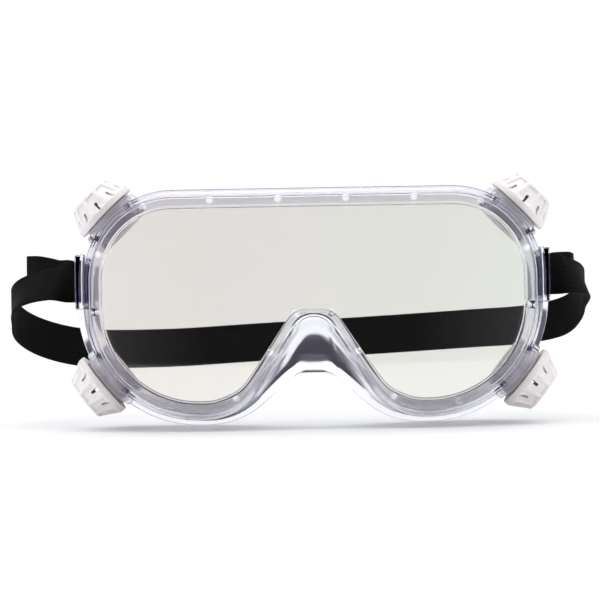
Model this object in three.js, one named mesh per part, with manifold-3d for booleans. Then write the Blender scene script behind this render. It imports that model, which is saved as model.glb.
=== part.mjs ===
// Clear splash goggles with four ventilation valves and an elastic headband.
// Millimetres. +X is the wearer's left, +Y points back to the head, +Z is up.
// The design is laid out around the middle of the lens; the last lines stand it on z = 0.
import * as THREE from 'three';
import { mergeVertices } from 'three/addons/utils/BufferGeometryUtils.js';
import Module from 'manifold-3d';

const wasm = await Module();
wasm.setup();

// ---- Driving dimensions ----

// Outline of the front rim: full upper corners, rounder lower ones and a nose arch.
const rimOutline = {
  halfWidth: 81.2,
  halfHeight: 40.6,
  cornerRadius: 32,
  lobeX: 38.5,
  lobeRadius: 22,
  flankAngle: 57,
  archRadius: 6,
  archHalfFlat: 0.4,
};

// Outline of the face flange, which is wider than the rim and has a shallower arch.
const flangeOutline = {
  halfWidth: 86.6,
  halfHeight: 44.6,
  cornerRadius: 36,
  lobeX: 39.5,
  lobeRadius: 32,
  flankAngle: 42,
  archRadius: 6,
  archHalfFlat: 3.5,
};

// Steps along each stretch of an outline: top, corner, side, lower end, bottom, lobe, flank,
// arch and arch top.
const outlineSteps = [4, 8, 1, 8, 1, 5, 4, 5, 1];

const frontBow = 6;
const depthAtBrow = 36;
const depthAtTemple = 47;
const noseReach = 17;
const noseSpread = 20;
const noseCurve = 1.6;

const lipWidth = 6.7;
const noseLipLoss = 1.9;
const noseLipSpread = 24;
const archLipLoss = 1.5;
const archLipSpread = 3.5;
const lipThickness = 2;
const backLipLoss = 0.8;
const backLipThickness = 1.5;
const wallThickness = 2.2;
const wallFlare = 0.25;
const flareStart = 0.85;
const flangeThickness = 1.4;
const edgeRound = 0.7;

const lensThickness = 2;
const fitGap = 0.3;
const grooveBottom = -1.9;
const lensEdge = -2.3;
// Each peg's share of the way from the middle of the top to the top of the nose arch.
const pegShares = [0.055, 0.165, 0.275, 0.385, 0.48, 0.585, 0.69, 0.8, 0.894, 0.969];
const pegSides = 8;
const pegInset = -3.7;
const pegRadius = 1;
const pegHoleRadius = 1.35;

const bossRadius = 12.5;
const bossThickness = 6;
const ventHoleRadius = 9.25;
const ventDepth = 26;
const vents = [
  { name: 'upper_left', angle: 45, face: 45.3 },
  { name: 'upper_right', angle: 135, face: 45.3 },
  { name: 'lower_right', angle: 218.5, face: 43.3 },
  { name: 'lower_left', angle: 321.5, face: 43.3 },
];
const ventFlangeThickness = 1.6;
const ventGridThickness = 1;
const ventSides = 24;

const capBaseRadius = 12;
const capFaceRadius = 7.7;
const capBottom = 1.4;
const capTop = 10.9;
const capBoreRadius = 8.9;
const fluteCount = 10;
const fluteDepth = 0.9;
const slotWidth = 1.1;
const slotLength = 3;
const slotMiddle = 5.2;

const strapWidth = 15;
const strapThickness = 1.2;
const lugHeight = 8.3;
const webInner = 82.6;
const webBack = 49;
const tabInner = 84.4;
const tabThickness = 3;
const tabHalfHeight = 10;
const tabStart = 45;
const tabEnd = 63.5;
const frontSlot = 50.5;
const rearSlot = 58.5;
const tabSlotWidth = 2.5;
const tabSlotHalfHeight = 8.1;
const hoopStart = 90.4;
const leftLean = 28;
const rightLean = 38;
const leanStart = 88;
const leanFull = 96;
const leanFade = 54;
const leanEnd = 72;

// ---- Materials ----

function material(color, roughness, extra = {}) {
  return new THREE.MeshStandardMaterial({ color, roughness, metalness: 0, ...extra });
}

const clearVinyl = () => material(0xdcdfe6, 0.25, { transparent: true, opacity: 0.45 });
const clearPolycarbonate = () => material(0xe4e5e0, 0.05, { transparent: true, opacity: 0.25 });
const whitePolypropylene = () => material(0xf3ecec, 0.45);
const blackElastic = () => material(0x141414, 0.9);

// ---- Solids ----

function toSolid(geometry) {
  const bare = geometry.clone();
  bare.deleteAttribute('normal');
  bare.deleteAttribute('uv');
  const merged = mergeVertices(bare, 1e-4);
  return new wasm.Manifold(new wasm.Mesh({
    numProp: 3,
    vertProperties: new Float32Array(merged.attributes.position.array),
    triVerts: new Uint32Array(merged.index.array),
  }));
}

function toGeometry(solid) {
  const mesh = solid.getMesh();
  const geometry = new THREE.BufferGeometry();
  geometry.setAttribute('position', new THREE.BufferAttribute(mesh.vertProperties, 3));
  geometry.setIndex(new THREE.BufferAttribute(mesh.triVerts, 1));
  geometry.computeVertexNormals();
  return geometry;
}

function namedMesh(name, geometry, meshMaterial) {
  const mesh = new THREE.Mesh(geometry, meshMaterial);
  mesh.name = name;
  return mesh;
}

// Joins rings of points into one closed skin. Each ring has the same number of points.
// A closed sweep returns to its first ring; an open one is capped with a fan at both ends.
function skin(rings, closed) {
  const size = rings[0].length;
  const positions = rings.flat().flatMap((point) => [point.x, point.y, point.z]);
  const indices = [];
  const ringCount = closed ? rings.length : rings.length - 1;
  for (let i = 0; i < ringCount; i += 1) {
    const here = i * size;
    const next = ((i + 1) % rings.length) * size;
    for (let j = 0; j < size; j += 1) {
      const k = (j + 1) % size;
      indices.push(here + j, next + j, here + k);
      indices.push(here + k, next + j, next + k);
    }
  }
  if (!closed) {
    const last = (rings.length - 1) * size;
    for (let j = 1; j < size - 1; j += 1) {
      indices.push(0, j, j + 1);
      indices.push(last, last + j + 1, last + j);
    }
  }
  const geometry = new THREE.BufferGeometry();
  geometry.setAttribute('position', new THREE.Float32BufferAttribute(positions, 3));
  geometry.setIndex(indices);
  geometry.computeVertexNormals();
  return geometry;
}

// ---- Outlines ----

// The right half of an outline, from the middle of the top clockwise to the top of the nose arch.
function halfOutlineCurves(size) {
  const rad = THREE.MathUtils.degToRad;
  const endX = size.halfWidth - size.halfHeight;
  const cornerX = size.halfWidth - size.cornerRadius;
  const cornerZ = size.halfHeight - size.cornerRadius;
  const bottom = -size.halfHeight;
  const lobeZ = bottom + size.lobeRadius;
  const lobeEnd = rad(-90 - size.flankAngle);
  const flankStart = new THREE.Vector2(
    size.lobeX + size.lobeRadius * Math.cos(lobeEnd),
    lobeZ + size.lobeRadius * Math.sin(lobeEnd),
  );
  const archStart = rad(90 - size.flankAngle);
  const flankEndX = size.archHalfFlat + size.archRadius * Math.cos(archStart);
  const rise = (flankStart.x - flankEndX) * Math.tan(rad(size.flankAngle));
  const flankEnd = new THREE.Vector2(flankEndX, flankStart.y + rise);
  const archZ = flankEnd.y - size.archRadius * Math.sin(archStart);
  const apex = archZ + size.archRadius;
  const point = (x, z) => new THREE.Vector2(x, z);
  const arc = (x, z, r, from, to, clockwise) => (
    new THREE.EllipseCurve(x, z, r, r, from, to, clockwise, 0)
  );
  return [
    new THREE.LineCurve(point(0, size.halfHeight), point(cornerX, size.halfHeight)),
    arc(cornerX, cornerZ, size.cornerRadius, rad(90), 0, true),
    new THREE.LineCurve(point(size.halfWidth, cornerZ), point(size.halfWidth, 0)),
    arc(endX, 0, size.halfHeight, 0, rad(-90), true),
    new THREE.LineCurve(point(endX, bottom), point(size.lobeX, bottom)),
    arc(size.lobeX, lobeZ, size.lobeRadius, rad(-90), lobeEnd, true),
    new THREE.LineCurve(flankStart, flankEnd),
    arc(size.archHalfFlat, archZ, size.archRadius, archStart, rad(90), false),
    new THREE.LineCurve(point(size.archHalfFlat, apex), point(0, apex)),
  ];
}

// All the way round, clockwise from the middle of the top, with matching steps in every outline.
function outlinePoints(size) {
  const right = [];
  halfOutlineCurves(size).forEach((curve, index) => {
    const steps = outlineSteps[index];
    for (let i = 0; i < steps; i += 1) {
      right.push(curve.getPoint(i / steps));
    }
    if (index === outlineSteps.length - 1) {
      right.push(curve.getPoint(1));
    }
  });
  const left = right.slice(1, -1).reverse().map((p) => new THREE.Vector2(-p.x, p.y));
  return right.concat(left);
}

// Unit vectors that point out of a clockwise outline, one for each of its points.
function outwardNormals(points) {
  return points.map((_, i) => {
    const before = points[(i + points.length - 1) % points.length];
    const after = points[(i + 1) % points.length];
    return new THREE.Vector2(before.y - after.y, after.x - before.x).normalize();
  });
}

const rim = outlinePoints(rimOutline);
const rimNormals = outwardNormals(rim);
const flange = outlinePoints(flangeOutline);

function offsetRim(distance) {
  return rim.map((p, i) => p.clone().addScaledVector(rimNormals[i], distance));
}

// The front is bowed round the face: its ends lie further back than its middle.
function bow(x) {
  return frontBow * (x / rimOutline.halfWidth) ** 2;
}

// 1 at the top of the nose arch, falling to 0 along the cheeks and everywhere on the brow.
function noseShare(point) {
  return point.y < 0 ? Math.exp(-((point.x / noseSpread) ** 2)) : 0;
}

// The lip is narrower over the nose, and narrowest at the top of the arch.
function lipWidthAt(point) {
  if (point.y > 0) {
    return lipWidth;
  }
  const overNose = noseLipLoss * Math.exp(-((point.x / noseLipSpread) ** 6));
  const overArch = archLipLoss * Math.exp(-((point.x / archLipSpread) ** 2));
  return lipWidth - overNose - overArch;
}

function rearDepth(point) {
  const side = (point.x / rimOutline.halfWidth) ** 2;
  const face = depthAtBrow + (depthAtTemple - depthAtBrow) * side;
  return face - noseReach * noseShare(point);
}

// ---- Frame ----

// One cross-section of the frame: front lip, side wall, face flange, inner wall and lens groove.
function frameSection(i) {
  const nose = noseShare(rim[i]);
  const lip = lipWidthAt(rim[i]);
  const depth = rearDepth(rim[i]);
  const place = (flat, y) => new THREE.Vector3(flat.x, y, flat.y);
  const front = (offset, y) => {
    const flat = rim[i].clone().addScaledVector(rimNormals[i], offset);
    return place(flat, y + bow(flat.x));
  };
  const wall = (t, inset) => {
    const bent = wallFlare * flareStart;
    const steep = bent + ((1 - bent) * (t - flareStart)) / (1 - flareStart);
    const side = t <= flareStart ? wallFlare * t : steep;
    const share = THREE.MathUtils.lerp(side, t ** noseCurve, nose);
    const flat = rim[i].clone().lerp(flange[i], share);
    flat.addScaledVector(rimNormals[i], -inset);
    return place(flat, THREE.MathUtils.lerp(bow(rim[i].x) + edgeRound, depth, t));
  };
  const grooveBack = lipThickness + lensThickness + 2 * fitGap;
  const lipBack = grooveBack + backLipThickness;
  return [
    front(-lip, edgeRound),
    front(-lip + edgeRound, 0),
    front(-edgeRound, 0),
    front(0, edgeRound),
    wall(0.3, 0),
    wall(0.6, 0),
    wall(flareStart, 0),
    place(flange[i], depth - flangeThickness),
    place(flange[i], depth),
    wall(0.9, wallThickness),
    wall(0.6, wallThickness),
    wall(0.35, wallThickness),
    front(-wallThickness, lipBack + 1),
    front(-lip + backLipLoss, lipBack),
    front(-lip + backLipLoss, grooveBack),
    front(grooveBottom, grooveBack),
    front(grooveBottom, lipThickness),
    front(-lip, lipThickness),
  ];
}

function pegPlaces() {
  const inset = offsetRim(pegInset);
  const half = inset.slice(0, inset.length / 2 + 1);
  const curve = new THREE.CatmullRomCurve3(half.map((p) => new THREE.Vector3(p.x, 0, p.y)));
  const right = pegShares.map((share) => curve.getPointAt(share));
  return right.concat(right.map((p) => new THREE.Vector3(-p.x, 0, p.z)));
}

function postAt(point, radius, from, to) {
  const post = new THREE.CylinderGeometry(radius, radius, to - from, pegSides);
  post.translate(point.x, bow(point.x) + (from + to) / 2, point.z);
  return toSolid(post);
}

// Turns +Z to a valve's axis and moves the origin to the middle of its end of the frame.
function ventMatrix(angle) {
  const turn = THREE.MathUtils.degToRad(angle);
  const axis = new THREE.Vector3(Math.cos(turn), 0, Math.sin(turn));
  const endX = rimOutline.halfWidth - rimOutline.halfHeight;
  const quaternion = new THREE.Quaternion().setFromUnitVectors(new THREE.Vector3(0, 0, 1), axis);
  const position = new THREE.Vector3(Math.sign(axis.x) * endX, ventDepth, 0);
  return new THREE.Matrix4().compose(position, quaternion, new THREE.Vector3(1, 1, 1));
}

// A round bar along a valve's axis, between two distances from the middle of the frame's end.
function ventBar(angle, radius, from, to) {
  const bar = new THREE.CylinderGeometry(radius, radius, to - from, ventSides);
  bar.rotateX(Math.PI / 2);
  bar.translate(0, 0, (from + to) / 2);
  bar.applyMatrix4(ventMatrix(angle));
  return toSolid(bar);
}

// A slotted plate outside the temple, on a short web from the edge of the flange.
function strapTab(side) {
  const corner = 3;
  const plate = new THREE.Shape();
  plate.moveTo(tabStart, -tabHalfHeight);
  plate.lineTo(tabEnd - corner, -tabHalfHeight);
  plate.absarc(tabEnd - corner, -tabHalfHeight + corner, corner, -Math.PI / 2, 0, false);
  plate.absarc(tabEnd - corner, tabHalfHeight - corner, corner, 0, Math.PI / 2, false);
  plate.lineTo(tabStart, tabHalfHeight);
  const tab = new THREE.ExtrudeGeometry(plate, {
    depth: tabThickness,
    bevelEnabled: false,
    curveSegments: 4,
  });
  // The shape's own axes become +Y and +Z, and its thickness lies along +X.
  const lay = new THREE.Matrix4().makeBasis(
    new THREE.Vector3(0, 1, 0),
    new THREE.Vector3(0, 0, 1),
    new THREE.Vector3(1, 0, 0),
  );
  tab.applyMatrix4(lay);
  const inner = side > 0 ? tabInner : -tabInner - tabThickness;
  tab.translate(inner, 0, lugHeight);
  let solid = toSolid(tab);
  for (const depth of [frontSlot, rearSlot]) {
    const slot = new THREE.BoxGeometry(3 * tabThickness, tabSlotWidth, 2 * tabSlotHalfHeight);
    slot.translate(inner + tabThickness / 2, depth, lugHeight);
    solid = solid.subtract(toSolid(slot));
  }
  const webWidth = tabInner + tabThickness - webInner;
  const web = new THREE.BoxGeometry(webWidth, webBack - tabStart, 2 * tabHalfHeight);
  web.translate(side * (webInner + webWidth / 2), (tabStart + webBack) / 2, lugHeight);
  return solid.add(toSolid(web));
}

function goggleFrame() {
  let solid = toSolid(skin(rim.map((_, i) => frameSection(i)), true));
  for (const point of pegPlaces()) {
    const pegEnd = lipThickness + lensThickness + 2 * fitGap + backLipThickness / 2;
    solid = solid.add(postAt(point, pegRadius, lipThickness / 2, pegEnd));
  }
  for (const { angle, face } of vents) {
    solid = solid.add(ventBar(angle, bossRadius, face - bossThickness, face));
    solid = solid.subtract(ventBar(angle, ventHoleRadius, face - 15, face + 5));
  }
  for (const side of [-1, 1]) {
    solid = solid.add(strapTab(side));
  }
  return namedMesh('goggle_frame', toGeometry(solid), clearVinyl());
}

// ---- Lens ----

function lens() {
  const sheet = new THREE.BoxGeometry(200, lensThickness, 100, 24, 1, 1);
  const position = sheet.attributes.position;
  for (let i = 0; i < position.count; i += 1) {
    const middle = lipThickness + fitGap + lensThickness / 2;
    position.setY(i, position.getY(i) + middle + bow(position.getX(i)));
  }
  const edge = new THREE.ExtrudeGeometry(new THREE.Shape(offsetRim(lensEdge)), {
    depth: 40,
    bevelEnabled: false,
  });
  edge.rotateX(Math.PI / 2);
  edge.translate(0, 30, 0);
  let solid = toSolid(sheet).intersect(toSolid(edge));
  for (const point of pegPlaces()) {
    solid = solid.subtract(postAt(point, pegHoleRadius, -5, 15));
  }
  return namedMesh('lens', toGeometry(solid), clearPolycarbonate());
}

// ---- Ventilation valves, each built along +Z from the face of its boss ----

function lathe(profile, segments) {
  const points = profile.map(([r, z]) => new THREE.Vector2(r, z));
  const geometry = new THREE.LatheGeometry(points, segments);
  geometry.rotateX(Math.PI / 2);
  return geometry;
}

function upright(radius, height, segments, x, y, z) {
  const bar = new THREE.CylinderGeometry(radius, radius, height, segments);
  bar.rotateX(Math.PI / 2);
  bar.translate(x, y, z);
  return toSolid(bar);
}

// The valve body: inner flange and grid, sleeve through the boss, barb and a neck for the cap.
function ventSeat() {
  const flangeTop = -bossThickness - fitGap;
  const flangeBottom = flangeTop - ventFlangeThickness;
  const gridTop = flangeBottom + ventGridThickness;
  const profile = [
    [0, flangeBottom],
    [11.4, flangeBottom],
    [11.4, flangeTop],
    [8.95, flangeTop],
    [8.95, fitGap],
    [10.2, fitGap],
    [9.4, 1.1],
    [8.2, 1.1],
    [8.2, 2.4],
    [8.55, 2.9],
    [8.2, 3.4],
    [7, 3.4],
    [7, gridTop],
    [0, gridTop],
  ];
  let solid = toSolid(lathe(profile, ventSides));
  for (let i = 0; i < 6; i += 1) {
    const turn = (i * Math.PI) / 3;
    const hole = [4.6 * Math.cos(turn), 4.6 * Math.sin(turn)];
    solid = solid.subtract(upright(1.8, 6, 8, hole[0], hole[1], flangeBottom));
  }
  return toGeometry(solid);
}

// A disc on three legs that keeps a splash from going straight through.
function ventBaffle() {
  const flangeBottom = -bossThickness - fitGap - ventFlangeThickness;
  const gridTop = flangeBottom + ventGridThickness;
  const discBottom = -3;
  let solid = upright(6.4, 1, 24, 0, 0, discBottom + 0.5);
  for (let i = 0; i < 3; i += 1) {
    const turn = ((i + 0.5) * 2 * Math.PI) / 3;
    const legTop = discBottom + 0.5;
    const legBottom = gridTop + fitGap;
    const height = legTop - legBottom;
    const middle = (legTop + legBottom) / 2;
    solid = solid.add(upright(0.7, height, 8, 5 * Math.cos(turn), 5 * Math.sin(turn), middle));
  }
  return toGeometry(solid);
}

// A hollow fluted cap with a narrow slot low down in each flute.
function ventCap() {
  const profile = [
    [capBoreRadius, capBottom],
    [capBaseRadius, capBottom],
    [capBaseRadius, capBottom + 2.2],
    [capBaseRadius - 0.7, capBottom + 3.2],
    [capFaceRadius + 0.6, capTop - 0.7],
    [capFaceRadius, capTop],
    [0, capTop],
    [0, capTop - 1.4],
    [6.6, capTop - 1.4],
    [capBoreRadius, capTop - 6],
    [capBoreRadius, capBottom],
  ];
  const shell = lathe(profile, fluteCount * 4);
  const position = shell.attributes.position;
  for (let i = 0; i < position.count; i += 1) {
    const x = position.getX(i);
    const y = position.getY(i);
    const z = position.getZ(i);
    const radius = Math.hypot(x, y);
    const onFlutes = radius > capFaceRadius && z > capBottom + 2.5 && z < capTop - 0.3;
    if (onFlutes && radius > capBoreRadius * 0.93) {
      const wave = 0.5 - 0.5 * Math.cos(fluteCount * Math.atan2(y, x));
      const shrink = 1 - (fluteDepth * wave) / radius;
      position.setX(i, x * shrink);
      position.setY(i, y * shrink);
    }
  }
  let solid = toSolid(shell);
  for (let i = 0; i < fluteCount; i += 1) {
    const slot = new THREE.BoxGeometry(8, slotWidth, slotLength);
    slot.translate(capBaseRadius, 0, slotMiddle);
    slot.rotateZ(((i + 0.5) * 2 * Math.PI) / fluteCount);
    solid = solid.subtract(toSolid(slot));
  }
  return toGeometry(solid);
}

// ---- Headband ----

// How far the strap's upper edge leans back just outside a tab, in degrees, fading round the bend.
function strapLean(point) {
  const outside = THREE.MathUtils.smoothstep(Math.abs(point.x), leanStart, leanFull);
  const round = THREE.MathUtils.smoothstep(point.y, leanFade, leanEnd);
  return (point.x < 0 ? rightLean : leftLean) * outside * (1 - round);
}

// A flat strap along a smooth path, upright where it doesn't lean, its thickness across the path.
function ribbon(points, steps) {
  const path = new THREE.CatmullRomCurve3(points, false, 'centripetal');
  const rings = [];
  for (let i = 0; i <= steps; i += 1) {
    const along = path.getTangentAt(i / steps);
    const middle = path.getPointAt(i / steps);
    const across = new THREE.Vector3(along.y, -along.x, 0).normalize();
    const headward = across.y - Math.sign(middle.x) * across.x > 0 ? 1 : -1;
    const lean = headward * THREE.MathUtils.degToRad(strapLean(middle));
    const up = new THREE.Vector3(0, 0, 1).applyAxisAngle(along, lean);
    across.applyAxisAngle(along, lean).multiplyScalar(strapThickness / 2);
    up.multiplyScalar(strapWidth / 2);
    rings.push([
      middle.clone().add(across).add(up),
      middle.clone().sub(across).add(up),
      middle.clone().sub(across).sub(up),
      middle.clone().add(across).sub(up),
    ]);
  }
  return skin(rings, false);
}

// The strap's end, woven through the two slots of a tab, with the free tail behind it.
function strapEnd(name, side, tail) {
  const woven = [
    [hoopStart - fitGap, frontSlot, lugHeight],
    [86.8, frontSlot, lugHeight],
    [84.6, frontSlot, lugHeight],
    [83.2, 51.3, lugHeight],
    [82.8, 54.5, lugHeight],
    [83.2, 57.7, lugHeight],
    [84.6, rearSlot, lugHeight],
    [86.8, rearSlot, lugHeight],
  ];
  const points = woven.concat(tail).map(([x, y, z]) => new THREE.Vector3(side * x, y, z));
  return namedMesh(name, toGeometry(toSolid(ribbon(points, 28))), blackElastic());
}

// The loop round the head, from tab to tab. It droops towards the back.
function headband() {
  const route = [
    [-hoopStart, frontSlot, lugHeight],
    [-94.4, 50.9, 8.1],
    [-100.4, 53.2, 7.3],
    [-107.4, 58.8, 5],
    [-112, 67, 1],
    [-113, 80, -6],
    [-106, 94, -12.6],
    [-90, 106, -17.6],
    [-60, 116, -18.8],
    [-20, 120, -17.2],
    [20, 119, -15.4],
    [60, 114, -13.2],
    [85, 105, -11.4],
    [97.4, 93, -8],
    [101.8, 80, -2.2],
    [102, 68, 3.2],
    [99.8, 57.4, 6.6],
    [94.4, 51.1, 8.1],
    [hoopStart, frontSlot, lugHeight],
  ];
  const points = route.map(([x, y, z]) => new THREE.Vector3(x, y, z));
  return namedMesh('headband', toGeometry(toSolid(ribbon(points, 80))), blackElastic());
}

// ---- Assembly ----

const goggles = new THREE.Group();
goggles.add(goggleFrame());
goggles.add(lens());

for (const { name, angle, face } of vents) {
  const vent = new THREE.Group();
  ventMatrix(angle).decompose(vent.position, vent.quaternion, vent.scale);
  const seat = namedMesh(`vent_seat_${name}`, ventSeat(), whitePolypropylene());
  const baffle = namedMesh(`vent_baffle_${name}`, ventBaffle(), whitePolypropylene());
  const cap = namedMesh(`vent_cap_${name}`, ventCap(), whitePolypropylene());
  for (const piece of [seat, baffle, cap]) {
    piece.position.z = face;
    vent.add(piece);
  }
  goggles.add(vent);
}

goggles.add(strapEnd('strap_end_left', 1, [
  [90, 59.1, 8.8],
  [94.4, 61, 9.2],
  [97.4, 64.8, 9],
  [98.2, 69.5, 8.4],
]));
goggles.add(strapEnd('strap_end_right', -1, [
  [90, 58.9, 9],
  [96.6, 60.6, 10],
  [102.8, 65, 10.8],
  [107, 70.5, 10.8],
]));
goggles.add(headband());

// Stand it on the ground with the origin under the middle of its box.
goggles.updateMatrixWorld(true);
const box = new THREE.Box3().setFromObject(goggles, true);
const middle = box.getCenter(new THREE.Vector3());
goggles.position.set(-middle.x, -middle.y, -box.min.z);

export default goggles;
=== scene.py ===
# %% [markdown]
# # Clear splash goggles
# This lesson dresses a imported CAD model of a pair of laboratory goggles. The CAD model is the
# fixed frame: it says where every part sits and how it moves. Here each part gets its fine
# surface and its finish: clear soft vinyl, a clear hard lens, white plastic valves and a black
# elastic headband. All lengths are in metres, and MM turns millimetres into metres.

# %% Load the frame
import bpy
import bmesh
import math
import numpy as np
from mathutils import Matrix, Vector


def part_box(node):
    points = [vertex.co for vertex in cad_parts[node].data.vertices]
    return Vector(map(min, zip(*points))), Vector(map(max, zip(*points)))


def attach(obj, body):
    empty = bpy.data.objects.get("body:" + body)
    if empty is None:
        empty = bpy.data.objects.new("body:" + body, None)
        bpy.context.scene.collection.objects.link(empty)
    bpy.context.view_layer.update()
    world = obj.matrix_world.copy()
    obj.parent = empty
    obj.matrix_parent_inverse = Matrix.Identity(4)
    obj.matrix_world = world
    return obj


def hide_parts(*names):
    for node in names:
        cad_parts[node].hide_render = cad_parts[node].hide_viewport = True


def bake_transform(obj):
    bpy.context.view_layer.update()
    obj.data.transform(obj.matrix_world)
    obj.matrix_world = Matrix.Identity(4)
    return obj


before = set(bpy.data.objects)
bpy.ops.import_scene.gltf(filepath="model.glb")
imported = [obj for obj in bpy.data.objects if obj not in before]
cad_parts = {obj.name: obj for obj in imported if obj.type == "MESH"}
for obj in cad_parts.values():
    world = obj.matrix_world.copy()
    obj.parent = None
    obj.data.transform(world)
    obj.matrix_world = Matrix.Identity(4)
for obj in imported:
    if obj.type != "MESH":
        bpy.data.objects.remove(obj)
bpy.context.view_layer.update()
MM = 0.001
scene = bpy.context.scene


def add_object(name, data):
    made = bpy.data.objects.new(name, data)
    scene.collection.objects.link(made)
    return made


# %% [markdown]
# ## Where things are
# The frame moulding is the same left and right, so the middle of its box is the middle of the
# goggles. Every other place is worked out from that point, from the sizes of the frame and the
# lens, and from a few sizes of the mouldings themselves.

# %% Places and sizes
frame_low, frame_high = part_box("goggle_frame")
lens_low, lens_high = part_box("lens")
MIDDLE = Vector(((frame_low.x + frame_high.x) / 2, frame_low.y, (frame_low.z + frame_high.z) / 2))
LENS_INSET = 2.3 * MM
FLANGE_HALF_HEIGHT = (frame_high.z - frame_low.z) / 2
RIM_HALF_WIDTH = (lens_high.x - lens_low.x) / 2 + LENS_INSET
RIM_HALF_HEIGHT = (lens_high.z - lens_low.z) / 2 + LENS_INSET
FLANGE_MARGIN = 5.4 * MM
FLANGE_HALF_WIDTH = RIM_HALF_WIDTH + FLANGE_MARGIN
END_X = RIM_HALF_WIDTH - RIM_HALF_HEIGHT
print("rim", round(RIM_HALF_WIDTH / MM, 1), round(RIM_HALF_HEIGHT / MM, 1))
print("flange", round(FLANGE_HALF_WIDTH / MM, 1), round(FLANGE_HALF_HEIGHT / MM, 1))

# %% [markdown]
# ## Camera
# The goggles are looked at almost straight on from about a metre away with a long lens, a touch
# above the level of their middle, and the camera leans over by one degree.

# %% Camera
CAMERA_DISTANCE = 950 * MM
CAMERA_FOCAL = 162.4
CAMERA_LIFT = math.radians(1.0)
CAMERA_ROLL = math.radians(-1.0)
AIM = MIDDLE + Vector((-4.7, 0, 1.2)) * MM


def add_camera():
    data = bpy.data.cameras.new("camera")
    data.lens = CAMERA_FOCAL
    data.sensor_width = 36
    data.clip_start = 0.01
    data.clip_end = 50
    camera = add_object("camera", data)
    back = Vector((0, -math.cos(CAMERA_LIFT), math.sin(CAMERA_LIFT)))
    camera.location = AIM + back * CAMERA_DISTANCE
    turn = (-back).to_track_quat("-Z", "Y").to_matrix() @ Matrix.Rotation(CAMERA_ROLL, 3, "Z")
    camera.rotation_euler = turn.to_euler()
    scene.camera = camera
    return camera


camera = add_camera()
print("camera at", tuple(round(v, 3) for v in camera.location))

# %% [markdown]
# ## Mesh helpers
# Most pieces are swept or turned: a ring of points is carried along a path or round an axis, and
# the rings are joined with faces. One helper joins rings, and one makes the object and checks
# that its faces point outwards, by the sign of the volume that they enclose.

# %% Mesh helpers
def make_object(name, verts, faces, smooth_angle=40):
    mesh = bpy.data.meshes.new(name)
    mesh.from_pydata([tuple(v) for v in verts], [], faces)
    work = bmesh.new()
    work.from_mesh(mesh)
    bmesh.ops.remove_doubles(work, verts=work.verts, dist=1e-7)
    if work.calc_volume(signed=True) < 0:
        bmesh.ops.reverse_faces(work, faces=work.faces)
    work.to_mesh(mesh)
    work.free()
    mesh.shade_smooth()
    mesh.set_sharp_from_angle(angle=math.radians(smooth_angle))
    return add_object(name, mesh)


def ring_faces(ring_count, size, closed, capped=False):
    """Quads between neighbouring rings, and an n-gon on each end of an open sweep."""
    faces = []
    for i in range(ring_count if closed else ring_count - 1):
        here = i * size
        after = ((i + 1) % ring_count) * size
        for j in range(size):
            k = (j + 1) % size
            faces.append((here + j, here + k, after + k, after + j))
    if capped:
        faces.append(tuple(range(size))[::-1])
        faces.append(tuple((ring_count - 1) * size + j for j in range(size)))
    return faces


def turned(profile, segments):
    """Vertices and faces of a profile of (radius, height) turned about the Z axis."""
    verts = []
    for i in range(segments):
        angle = 2 * math.pi * i / segments
        for radius, height in profile:
            verts.append((radius * math.cos(angle), radius * math.sin(angle), height))
    return verts, ring_faces(segments, len(profile), closed=True)


def soft_corners(points, radii, steps=4):
    """A closed polygon with each corner eased by a curve that starts a radius before it."""
    points = [np.asarray(p, float) for p in points]
    eased = []
    for i, corner in enumerate(points):
        before = points[i - 1]
        after = points[(i + 1) % len(points)]
        radius = radii[i] if hasattr(radii, "__len__") else radii
        if radius <= 0:
            eased.append(corner)
            continue
        to_before = before - corner
        to_after = after - corner
        start = corner + to_before * min(0.5, radius / np.linalg.norm(to_before))
        end = corner + to_after * min(0.5, radius / np.linalg.norm(to_after))
        for k in range(steps + 1):
            t = k / steps
            eased.append((1 - t) ** 2 * start + 2 * t * (1 - t) * corner + t * t * end)
    return eased


def cut_or_join(piece, other, operation):
    """Applies a boolean with another object, which is then deleted."""
    modifier = piece.modifiers.new("boolean", "BOOLEAN")
    modifier.operation = operation
    modifier.solver = "EXACT"
    modifier.object = other
    apply_modifiers(piece)
    bpy.data.objects.remove(other)


def apply_modifiers(piece):
    evaluated = piece.evaluated_get(bpy.context.evaluated_depsgraph_get())
    mesh = bpy.data.meshes.new_from_object(evaluated)
    piece.modifiers.clear()
    old = piece.data
    piece.data = mesh
    mesh.name = piece.name
    bpy.data.meshes.remove(old)


def finish_piece(piece, body, material, nodes, smooth_angle=40):
    """The last step of every piece: its shading, finish, body and the CAD nodes it stands for."""
    piece.data.shade_smooth()
    piece.data.set_sharp_from_angle(angle=math.radians(smooth_angle))
    piece.data.materials.clear()
    piece.data.materials.append(material)
    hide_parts(*nodes)
    if body:
        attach(piece, body)
    print(piece.name, len(piece.data.polygons), "faces")
    return piece


# %% [markdown]
# ## Shader group
# Three finishes share one effect, the surface of a moulding, so it is a node group: a slow ripple
# from uneven cooling and a fine grain. It puts out a roughness, a normal and a mask of patches.

# %% Shader group helpers
def new_group(name, inputs, outputs):
    """An empty shader group with named sockets. An input is (name, kind, default)."""
    group = bpy.data.node_groups.new(name, "ShaderNodeTree")
    for label, kind, default in inputs:
        socket = group.interface.new_socket(label, in_out="INPUT", socket_type=kind)
        if default is not None:
            socket.default_value = default
    for label, kind in outputs:
        group.interface.new_socket(label, in_out="OUTPUT", socket_type=kind)
    return group, group.nodes.new("NodeGroupInput"), group.nodes.new("NodeGroupOutput")


def add_node(tree, kind, values=None, **settings):
    """A node with its settings and the values of its unlinked sockets."""
    node = tree.nodes.new(kind)
    for key, value in settings.items():
        setattr(node, key, value)
    for key, value in (values or {}).items():
        node.inputs[key].default_value = value
    return node


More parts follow.
